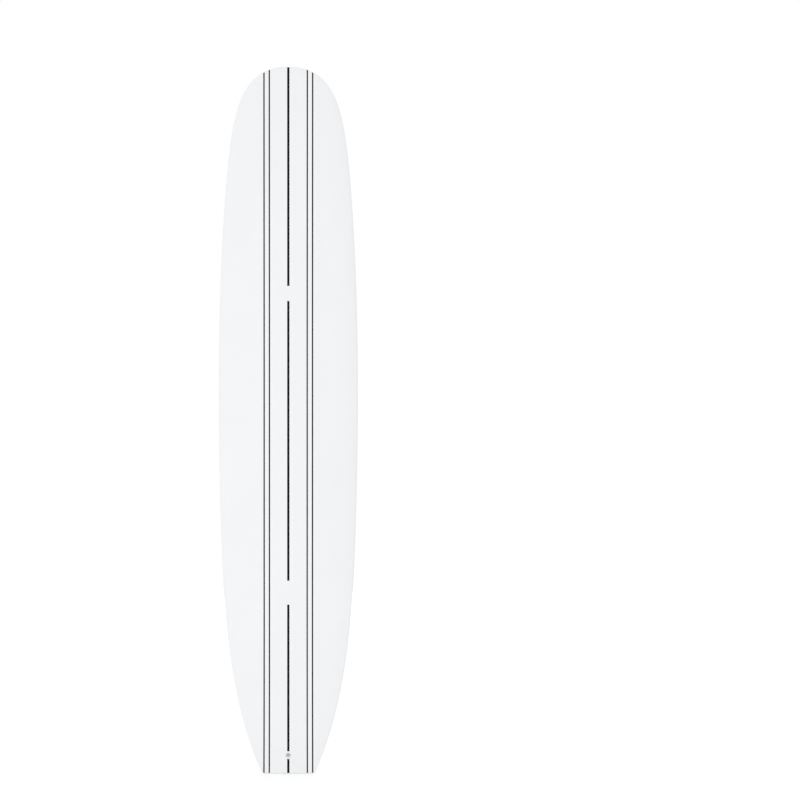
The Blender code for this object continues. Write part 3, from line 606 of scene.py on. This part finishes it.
# %% White ABS and stainless steel
white_abs = empty_tree(bpy.data.materials.new("white_abs_moulded"))
at = add_node(white_abs, "ShaderNodeTexCoord", {}).outputs["Object"]
grain = add_node(white_abs, "ShaderNodeTexNoise", {"Vector": at, "Scale": noise_scale(1.5), "Detail": 2.0})
whites = {0: grain.outputs["Fac"], 6: linear("F5F5F4"), 7: linear("FAFAF9")}
abs_tint = add_node(white_abs, "ShaderNodeMix", whites, data_type="RGBA")
semi_gloss = {"Value": grain.outputs["Fac"], "To Min": 0.30, "To Max": 0.42}
sheen = add_node(white_abs, "ShaderNodeMapRange", semi_gloss)
moulded = add_node(white_abs, "ShaderNodeBump", {"Height": grain.outputs["Fac"], "Distance": 0.00003})
abs_sockets = {
    "Base Color": abs_tint.outputs[2],
    "Roughness": sheen.outputs[0],
    "IOR": 1.54,
    "Normal": moulded.outputs[0],
}
shader = add_node(white_abs, "ShaderNodeBsdfPrincipled", abs_sockets)
add_node(white_abs, "ShaderNodeOutputMaterial", {"Surface": shader.outputs[0]})

steel = empty_tree(bpy.data.materials.new("stainless_steel_drawn_polished"))
at = add_node(steel, "ShaderNodeTexCoord", {}).outputs["Object"]
lines = add_node(steel, "ShaderNodeTexNoise", {"Vector": at, "Scale": noise_scale(0.5), "Detail": 3.0})
steels = {0: lines.outputs["Fac"], 6: linear("BDBEC0"), 7: linear("D2D3D5")}
steel_tint = add_node(steel, "ShaderNodeMix", steels, data_type="RGBA")
drawn = add_node(steel, "ShaderNodeMapRange", {"Value": lines.outputs["Fac"], "To Min": 0.20, "To Max": 0.36})
steel_sockets = {"Base Color": steel_tint.outputs[2], "Roughness": drawn.outputs[0], "Metallic": 1.0}
shader = add_node(steel, "ShaderNodeBsdfPrincipled", steel_sockets)
add_node(steel, "ShaderNodeOutputMaterial", {"Surface": shader.outputs[0]})

finish_piece(plug_cup, white_abs, "white_moulded_plastic", "board", "leash_plug_cup")
finish_piece(plug_bar, steel, "stainless_steel", "board", "leash_plug_pin")

# %% [markdown]
# ## Finishing the skins
# Faces of a grid are flat, and averaging their directions still leaves faint bands in a gloss. The
# formulas know the true direction at every point, so it is stored on each corner of the outer faces as
# a custom normal. The gloss then runs smoothly from deck to rail to bottom, also across the line where
# the two skins meet.

# %% Store the true normals
FACING = 0.8  # a face belongs to the outside if it faces about the way that the formulas say


def smooth_by_formula(skin):
    mesh = skin.data
    normals = [(0, 0, 0)] * len(mesh.loops)
    known = {}
    outside = 0
    for face in mesh.polygons:
        if face.normal.dot(skin_normal(face.center)) < FACING:
            continue
        outside += 1
        for corner in face.loop_indices:
            number = mesh.loops[corner].vertex_index
            if number not in known:
                known[number] = tuple(skin_normal(mesh.vertices[number].co))
            normals[corner] = known[number]
    mesh.normals_split_custom_set(normals)
    print(skin.name, "-", outside, "outside faces follow the formulas")


finish_piece(deck_skin, white_epoxy, "white_epoxy_laminate", "board", "deck_laminate")
finish_piece(bottom_skin, white_epoxy, "white_epoxy_laminate", "board", "bottom_laminate")
smooth_by_formula(deck_skin)
smooth_by_formula(bottom_skin)

# %% [markdown]
# ## Pinlines
# Pinlines are black resin brushed between two strips of tape, so they are a hair thick with a soft
# shoulder on each side, where a little resin creeps under the tape. There is a wide one down the middle
# and two thin ones on each side, on the deck and on the bottom. Each is a low bead that follows the
# skin and ends square to the outline, a little short of the rail. The frame's boxes say where each line
# runs.

# %% Lay the pinlines
LINE_THICKNESS, LINE_SUNK = 0.00025, 0.0001
LINE_TO_RAIL = 0.006
LINE_CREEP = 0.0009  # how far resin creeps under the tape on each side
LINE_ROWS = 180
BEAD = ((-0.5, 0.0), (-0.42, 0.7), (0.0, 1.0), (0.42, 0.7), (0.5, 0.0))  # across and up
BISECTIONS = 40

line_nodes = [node for node in sorted(frame["nodes"]) if "line" in node]
print(len(line_nodes), "lengths of pinline")


def line_end(x, tip):
    """The height nearest a tip at which the outline is still clear of a line at x."""
    inside, outside = WIDE_POINT, tip
    for _ in range(BISECTIONS):
        middle = (inside + outside) / 2
        if half_width(middle) - LINE_TO_RAIL > abs(x):
            inside = middle
        else:
            outside = middle
    return inside


def lay_line(node):
    low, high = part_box(node)
    outward = -1 if node.startswith("deck") else 1
    middle, width = (low.x + high.x) / 2, high.x - low.x + 2 * LINE_CREEP
    columns = []
    for across, up in BEAD:
        x = middle + across * width
        start = max(low.z, line_end(x, TAIL_EDGE))
        end = min(high.z, line_end(x, LENGTH - NOSE_EDGE / 2))
        column = []
        for k in range(LINE_ROWS + 1):
            share = (1 - math.cos(math.pi * k / LINE_ROWS)) / 2  # closer together towards both ends
            z = start + (end - start) * share
            lift = up * LINE_THICKNESS - (LINE_SUNK if up == 0 else 0)
            column.append((x, skin_y(x, z, outward) + outward * lift, z))
        columns.append(column)
    bm = bmesh.new()
    rings = [[bm.verts.new(column[k]) for column in columns] for k in range(LINE_ROWS + 1)]
    bm.faces.new(rings[0])
    bm.faces.new(rings[-1])
    for one, two in zip(rings, rings[1:]):
        for j in range(len(BEAD)):
            after = (j + 1) % len(BEAD)
            bm.faces.new((one[j], one[after], two[after], two[j]))
    bmesh.ops.recalc_face_normals(bm, faces=bm.faces)
    return add_object(f"{node}_bead", bm)


# %% [markdown]
# The resin is pigmented black and polished with the rest of the board. It is not quite even: brushed
# resin is thinner in places, so both its black and its gloss change slowly along the line.

# %% Black resin, brushed between tapes
black_resin = empty_tree(bpy.data.materials.new("black_resin_brushed_between_tapes"))
at = add_node(black_resin, "ShaderNodeTexCoord", {}).outputs["Object"]
strokes = {"Vector": at, "Scale": noise_scale(18), "Detail": 4.0}
brushing = add_node(black_resin, "ShaderNodeTexNoise", strokes)
resins = {0: brushing.outputs["Fac"], 6: linear("070708"), 7: linear("161617")}
resin_tint = add_node(black_resin, "ShaderNodeMix", resins, data_type="RGBA")
uneven = {"Value": brushing.outputs["Fac"], "To Min": 0.12, "To Max": 0.26}
brushed = add_node(black_resin, "ShaderNodeMapRange", uneven)
resin_sockets = {
    "Base Color": resin_tint.outputs[2],
    "Roughness": brushed.outputs[0],
    "IOR": 1.5,
    "Specular IOR Level": 0.12,  # the black keeps its depth in a white room
}
shader = add_node(black_resin, "ShaderNodeBsdfPrincipled", resin_sockets)
add_node(black_resin, "ShaderNodeOutputMaterial", {"Surface": shader.outputs[0]})

for node in line_nodes:
    finish_piece(lay_line(node), black_resin, "black_pinline_resin", "board", node)

# %% [markdown]
# ## The fin
# The fin is cut from a panel of many glass layers and ground to a foil: round in front, thickest at a
# third of the way back and thin behind. Its leading and trailing edges are two cubic curves that meet
# at the tip. Sections between them are lofted, with the trailing edge and the tip rounded over, and
# joined to the tab that goes into the box. Holes take the pin and the screw.

# %% Model the fin
FIN_FRONT = -0.084  # leading edge at the base, from the middle of the box
FIN_TIP = (0.283, 0.243)
LEADING_EDGE = ((0, 0), (0.037, 0.053), (0.144, 0.2707), FIN_TIP)
TRAILING_EDGE = ((0.181, 0), (0.1297, 0.110), (0.193, 0.168), FIN_TIP)
FIN_THICKNESS, FIN_TIP_THICKNESS, FIN_EDGE = 0.009, 0.003, 0.0012
FOIL = ((2.969, 0.5), (-1.26, 1), (-3.516, 2), (2.843, 3), (-1.036, 4))  # weights and powers of the foil
FIN_SECTIONS, FOIL_STEPS = 60, 26
FIN_ROOT = 0.002
TIP_START, TIP_ROUND = 0.945, 0.04  # where the tip's rounding begins along the edges, and its length
TIP_STEPS, TIP_TURN = 10, 88  # sections round the tip, and how many degrees round the last one lies
EDGE_STEPS, EDGE_TURN = 4, 75  # the same for the trailing edge


def curve_point(corners, t):
    weights = ((1 - t) ** 3, 3 * (1 - t) ** 2 * t, 3 * (1 - t) * t**2, t**3)
    return [sum(w * corner[i] for w, corner in zip(weights, corners)) for i in (0, 1)]


def fin_section(along, lowered=0.0, rounding=1.0):
    """One section, from the leading edge along the right side, round the trailing edge and back."""
    ends = curve_point(LEADING_EDGE, along), curve_point(TRAILING_EDGE, along)
    middle = [(a + b) / 2 for a, b in zip(*ends)]
    front, back = ([m + rounding * (p - m) for m, p in zip(middle, end)] for end in ends)
    thick = (FIN_THICKNESS + (FIN_TIP_THICKNESS - FIN_THICKNESS) * along) * rounding
    side = []
    for i in range(1, FOIL_STEPS + 1):
        c = (1 - math.cos(math.pi * i / FOIL_STEPS)) / 2
        half = (thick * sum(w * c**p for w, p in FOIL) + FIN_EDGE * rounding * c) / 2
        side.append((half, c))
    chord = math.dist(front, back)
    edge = side[-1][0]
    side[-1:] = [(edge * x, 1 - edge * (1 - y) / chord) for x, y in arc(0, 0, 1, 0, EDGE_TURN, EDGE_STEPS)]
    points = [(0, 0), *side, (0, 1), *((-x, c) for x, c in reversed(side))]
    aft_by, out_by = back[0] - front[0], back[1] - front[1]
    return [(x, FIN_FRONT + front[0] + c * aft_by, front[1] + c * out_by - lowered) for x, c in points]


def loft_fin():
    bm = bmesh.new()
    sections = [fin_section(0, lowered=FIN_ROOT)]
    sections += [fin_section(TIP_START * k / FIN_SECTIONS) for k in range(FIN_SECTIONS + 1)]
    turns = [math.radians(TIP_TURN * k / TIP_STEPS) for k in range(1, TIP_STEPS + 1)]
    sections += [fin_section(TIP_START + TIP_ROUND * math.sin(t), rounding=math.cos(t)) for t in turns]
    rings = [[bm.verts.new(p) for p in section] for section in sections]
    bm.faces.new(rings[0])
    bm.faces.new(rings[-1])
    for one, two in zip(rings, rings[1:]):
        for j in range(len(one)):
            after = (j + 1) % len(one)
            bm.faces.new((one[j], one[after], two[after], two[j]))
    bmesh.ops.recalc_face_normals(bm, faces=bm.faces)
    bm.transform(box_axes)
    return bm


fin = add_object("fin_panel", loft_fin())
print("fin faces:", len(fin.data.polygons))

# %% [markdown]
# The tab is a plain slab with rounded lower corners. A low lug in front of it carries the screw. It is
# drawn in side view, so its axes are turned: the outline's X runs aft, its Y out of the board and its
# depth across.

# %% Join the tab and drill it
TAB_START, TAB_END, TAB_WIDTH, TAB_TOP = -0.077, 0.086, 0.0092, 0.0004
TAB_BOTTOM, TAB_CORNER = 0.0175, 0.008
LUG_START, LUG_TOP, LUG_BOTTOM, LUG_END = -0.106, 0.004, 0.007, 0.0003
PIN_PLACE, PIN_LEVEL, PIN_HOLE = 0.071, 0.0098, 0.0027
SCREW_HOLE = 0.0024

side_axes = axes(aft, fin_out, sideways, box_axes.translation)
tab_outline = [(LUG_START, -LUG_TOP), (LUG_START, -LUG_BOTTOM), (TAB_START, -LUG_BOTTOM)]
tab_outline += arc(TAB_START + TAB_CORNER, TAB_CORNER - TAB_BOTTOM, TAB_CORNER, 180, 270)
tab_outline += arc(TAB_END - TAB_CORNER, TAB_CORNER - TAB_BOTTOM, TAB_CORNER, 270, 360)
tab_outline += [(TAB_END, -TAB_TOP), (FIN_FRONT + LUG_END, -TAB_TOP), (FIN_FRONT + LUG_END, -LUG_TOP)]
combine(fin, "UNION", prism(tab_outline, -TAB_WIDTH / 2, TAB_WIDTH / 2, side_axes))
pin_hole = circle(PIN_PLACE, -PIN_LEVEL, PIN_HOLE)
combine(fin, "DIFFERENCE", prism(pin_hole, -BODY_WIDTH, BODY_WIDTH, side_axes))
combine(fin, "DIFFERENCE", prism(circle(0, 0, SCREW_HOLE), -BOX_DEPTH, BOX_DEPTH, screw_axes))
print("fin faces with its tab:", len(fin.data.polygons))

# %% [markdown]
# The panel is glass cloth in tinted green epoxy, ground and polished, and light goes some way into it.
# So it is greenest where it is thickest and nearly colourless at its edges. The board's middle plane
# runs through the fin, so the distance from that plane is half the thickness at any point, and it
# drives the colour. Grinding through the layers leaves contour lines, one for each layer, which are 0.3
# mm thick. The cloth's threads are drawn at 4 mm, about twice the real spacing.

# %% Green glass fibre, ground and polished
green_glass = empty_tree(bpy.data.materials.new("green_glass_fibre_ground_polished"))
at = add_node(green_glass, "ShaderNodeTexCoord", {}).outputs["Object"]
parts = add_node(green_glass, "ShaderNodeSeparateXYZ", {"Vector": at})
depth = add_node(green_glass, "ShaderNodeMath", {0: parts.outputs["X"]}, operation="ABSOLUTE")
deepest = {"Value": depth.outputs[0], "From Max": FIN_THICKNESS / 2}
depth_share = add_node(green_glass, "ShaderNodeMapRange", deepest)
tint = add_node(green_glass, "ShaderNodeValToRGB", {"Fac": depth_share.outputs[0]})
greens = ((0.0, "DEE6D8"), (0.33, "D1DBC9"), (0.53, "C3D4BB"), (0.75, "B0CFA9"), (1.0, "A6C29A"))
ramp = tint.color_ramp.elements
while len(ramp) < len(greens):
    ramp.new(0.5)
for stop, (share, colour) in zip(ramp, greens):
    stop.position = share
    stop.color = linear(colour)
layer = add_node(green_glass, "ShaderNodeCombineXYZ", {"X": depth.outputs[0]})
contours = {"Vector": layer.outputs[0], "Scale": band_scale(0.3)}
layers = add_node(green_glass, "ShaderNodeTexWave", contours, bands_direction="X")
weft = {"Vector": at, "Scale": band_scale(4), "Distortion": 0.6, "Detail Scale": 2.0}
threads_out = add_node(green_glass, "ShaderNodeTexWave", weft, bands_direction="Y")
threads_aft = add_node(green_glass, "ShaderNodeTexWave", weft, bands_direction="Z")
woven = {0: threads_out.outputs["Fac"], 1: threads_aft.outputs["Fac"]}
weave = add_node(green_glass, "ShaderNodeMath", woven, operation="MULTIPLY")
marks = {0: weave.outputs[0], 1: layers.outputs["Fac"]}
marked = add_node(green_glass, "ShaderNodeMath", marks, operation="ADD")
slight = {"Value": marked.outputs[0], "From Max": 2.0, "To Max": 0.22}
faint = add_node(green_glass, "ShaderNodeMapRange", slight)
paler = {0: faint.outputs[0], 6: tint.outputs["Color"], 7: linear("E3EADF")}
fin_tint = add_node(green_glass, "ShaderNodeMix", paler, data_type="RGBA")
glass_sockets = {
    "Base Color": fin_tint.outputs[2],
    "Roughness": 0.16,
    "IOR": 1.55,
    "Subsurface Weight": 0.3,
    "Subsurface Radius": (0.8, 1.0, 0.8),
    "Subsurface Scale": 0.003,
}
shader = add_node(green_glass, "ShaderNodeBsdfPrincipled", glass_sockets)
add_node(green_glass, "ShaderNodeOutputMaterial", {"Surface": shader.outputs[0]})
finish_piece(fin, green_glass, "green_glass_fibre", "fin", "fin")

# %% [markdown]
# ## The fin's screw, plate and pin
# A slotted screw goes through the lug into a plate that runs in the channels, and a rolled pin holds
# the back of the tab. The screw is turned from one profile with ridges for its thread, and its slot is
# cut. The plate and the pin are flat and round bar with crisp edges, so their solids are kept and only
# get the steel.

# %% Turn the screw
HEAD_RADIUS, HEAD_HEIGHT, HEAD_BEVEL = 0.0038, 0.0018, 0.0012
SHANK_RADIUS, SCREW_LENGTH, THREAD_PITCH, THREAD_DEPTH = 0.0021, 0.0115, 0.000794, 0.0004
SCREW_SLOT, SCREW_SLOT_DEPTH = 0.001, 0.0008
SCREW_SEAT = -0.0037
THREADS = 13

crown = SCREW_SEAT + HEAD_HEIGHT
screw_profile = [(0, crown)]
screw_profile += arc(HEAD_RADIUS - HEAD_BEVEL, crown - HEAD_BEVEL, HEAD_BEVEL, 90, 0)
screw_profile += [(HEAD_RADIUS, SCREW_SEAT), (SHANK_RADIUS - THREAD_DEPTH, SCREW_SEAT)]
for k in range(THREADS):
    root = SCREW_SEAT - (k + 0.5) * THREAD_PITCH
    screw_profile += [(SHANK_RADIUS - THREAD_DEPTH, root), (SHANK_RADIUS, root - THREAD_PITCH / 2)]
screw_profile += [(SHANK_RADIUS - THREAD_DEPTH, SCREW_SEAT - SCREW_LENGTH), (0, SCREW_SEAT - SCREW_LENGTH)]
fin_screw = add_object("fin_screw_turned", lathe(screw_profile, screw_axes))
half_slot, reach = SCREW_SLOT / 2, 2 * HEAD_RADIUS
slot = [(-reach, -half_slot), (reach, -half_slot), (reach, half_slot), (-reach, half_slot)]
combine(fin_screw, "DIFFERENCE", prism(slot, crown - SCREW_SLOT_DEPTH, crown + HEAD_HEIGHT, screw_axes))
finish_piece(fin_screw, steel, "stainless_steel", "screw", "fin_screw")


def dress(node, material):
    """Gives a solid of the frame its material, and leaves its shape alone."""
    solid = frame["nodes"][node].data
    solid.materials.clear()
    solid.materials.append(material)
    print(node, "is", material.name)


dress("fin_nut_plate", steel)
dress("fin_roll_pin", steel)

# %% [markdown]
# ## Inside the board
# Under the glass there are two halves of polyurethane foam with a strip of basswood between them. They
# only show where the board is cut open, and their solids are used as they are. Foam is a mass of cells
# about 0.3 mm wide, drawn here at 3 mm. Basswood is pale with a fine straight grain along the board.

# %% Foam and basswood
foam = empty_tree(bpy.data.materials.new("polyurethane_foam_shaped"))
at = add_node(foam, "ShaderNodeTexCoord", {}).outputs["Object"]
cells = add_node(foam, "ShaderNodeTexVoronoi", {"Vector": at, "Scale": noise_scale(3)})
creams = {0: cells.outputs["Distance"], 6: linear("E6E2D2"), 7: linear("F3F0E4")}
foam_tint = add_node(foam, "ShaderNodeMix", creams, data_type="RGBA")
open_cells = add_node(foam, "ShaderNodeBump", {"Height": cells.outputs["Distance"], "Distance": 0.0004})
foam_sockets = {
    "Base Color": foam_tint.outputs[2],
    "Roughness": 0.9,
    "IOR": 1.5,
    "Normal": open_cells.outputs[0],
}
shader = add_node(foam, "ShaderNodeBsdfPrincipled", foam_sockets)
add_node(foam, "ShaderNodeOutputMaterial", {"Surface": shader.outputs[0]})

basswood = empty_tree(bpy.data.materials.new("basswood_planed"))
at = add_node(basswood, "ShaderNodeTexCoord", {}).outputs["Object"]
long_grain = add_node(basswood, "ShaderNodeMapping", {"Vector": at, "Scale": (1.0, 1.0, 0.04)})
fibres = {"Vector": long_grain.outputs[0], "Scale": noise_scale(2), "Detail": 5.0}
grain = add_node(basswood, "ShaderNodeTexNoise", fibres)
woods = {0: grain.outputs["Fac"], 6: linear("C9A877"), 7: linear("E2CBA2")}
wood_tint = add_node(basswood, "ShaderNodeMix", woods, data_type="RGBA")
wood_sockets = {"Base Color": wood_tint.outputs[2], "Roughness": 0.65, "IOR": 1.5}
shader = add_node(basswood, "ShaderNodeBsdfPrincipled", wood_sockets)
add_node(basswood, "ShaderNodeOutputMaterial", {"Surface": shader.outputs[0]})

dress("foam_core_left", foam)
dress("foam_core_right", foam)
dress("stringer", basswood)

# %% [markdown]
# ## A white studio
# The picture is a plain product shot: the board in front of white, in soft light from all round, with
# the key a little to the left. The world is a plain light for surfaces, and plain white for whatever
# looks straight at it. The floor is white too and keeps the shadow under the tail.

# %% World, floor and lamps
AMBIENT = 0.84
FLOOR_SIZE = 60.0

FLOOR_LIFT = 0.21  # light of its own that brings the floor up to white where it is looked at


def looked_at(owner):
    """1 for rays that look at something, straight, in a gloss or through glass, and 0 for other rays."""
    rays = add_node(owner, "ShaderNodeLightPath", {})
    mirrored = {0: rays.outputs["Is Camera Ray"], 1: rays.outputs["Is Glossy Ray"]}
    direct = add_node(owner, "ShaderNodeMath", mirrored, operation="MAXIMUM")
    through = {0: direct.outputs[0], 1: rays.outputs["Is Transmission Ray"]}
    return add_node(owner, "ShaderNodeMath", through, operation="MAXIMUM").outputs[0]


world = empty_tree(bpy.data.worlds.new("white_studio"))
bpy.context.scene.world = world
levels = {"Value": looked_at(world), "To Min": AMBIENT, "To Max": 1.0}
strength = add_node(world, "ShaderNodeMapRange", levels)
sky = add_node(world, "ShaderNodeBackground", {"Color": linear("FFFFFF"), "Strength": strength.outputs[0]})
add_node(world, "ShaderNodeOutputWorld", {"Surface": sky.outputs[0]})

floor_paint = empty_tree(bpy.data.materials.new("white_studio_floor"))
lifted = {0: looked_at(floor_paint), 1: FLOOR_LIFT}
lift = add_node(floor_paint, "ShaderNodeMath", lifted, operation="MULTIPLY")
floor_sockets = {
    "Base Color": linear("F8F8F8"),
    "Roughness": 0.9,
    "Emission Color": linear("FFFFFF"),
    "Emission Strength": lift.outputs[0],
}
shader = add_node(floor_paint, "ShaderNodeBsdfPrincipled", floor_sockets)
add_node(floor_paint, "ShaderNodeOutputMaterial", {"Surface": shader.outputs[0]})
floor_mesh = bmesh.new()
bmesh.ops.create_grid(floor_mesh, x_segments=1, y_segments=1, size=FLOOR_SIZE / 2)
floor = add_object("studio_floor", floor_mesh)
floor.data.materials.append(floor_paint)


SOFTBOX_SIZE, SOFTBOX_POWER = 3.2, 46
BOARD_MIDDLE = Vector((0, 0.05, LENGTH / 2))


def add_softbox(name, place):
    """A large square lamp that faces the middle of the board."""
    lamp = bpy.data.lights.new(name, "AREA")
    lamp.shape = "SQUARE"
    lamp.size = SOFTBOX_SIZE
    lamp.energy = SOFTBOX_POWER
    made = bpy.data.objects.new(name, lamp)
    bpy.context.scene.collection.objects.link(made)
    made.location = place
    made.visible_glossy = False  # as with a polarising filter, the lamp leaves no hot patch in a gloss
    made.rotation_euler = (BOARD_MIDDLE - Vector(place)).to_track_quat("-Z", "Y").to_euler()
    print(name, "with", SOFTBOX_POWER, "W")


add_softbox("key_softbox", (-1.6, -4.6, 1.2))
add_softbox("back_softbox", (1.6, 4.6, 1.2))

# %% [markdown]
# ## Camera
# The camera stands 4.7 m in front of the deck, at the height of the board's middle, and looks straight
# at it. The board stands left of the middle of the picture and a little low, so the lens is shifted
# instead of turned, which keeps the rails upright.

# %% Set up the camera
DISTANCE = 4.7
FRAME_HEIGHT = 3.2197  # metres across the picture at the board's tips

camera = bpy.data.cameras.new("camera")
camera.sensor_width = 36
camera.lens = camera.sensor_width * DISTANCE / FRAME_HEIGHT
camera.shift_x = 0.1396
camera.shift_y = 0.0249
camera_object = bpy.data.objects.new("camera", camera)
bpy.context.scene.collection.objects.link(camera_object)
camera_object.location = (0, -DISTANCE, LENGTH / 2)
camera_object.rotation_euler = (math.pi / 2, 0, 0)
bpy.context.scene.camera = camera_object
bpy.context.scene.view_settings.view_transform = "Standard"
print("lens", round(camera.lens, 1), "mm")

# %% [markdown]
# ## Finishing
# The finished pieces have to stay inside the box of the solid ones.

# %% Finish
import json
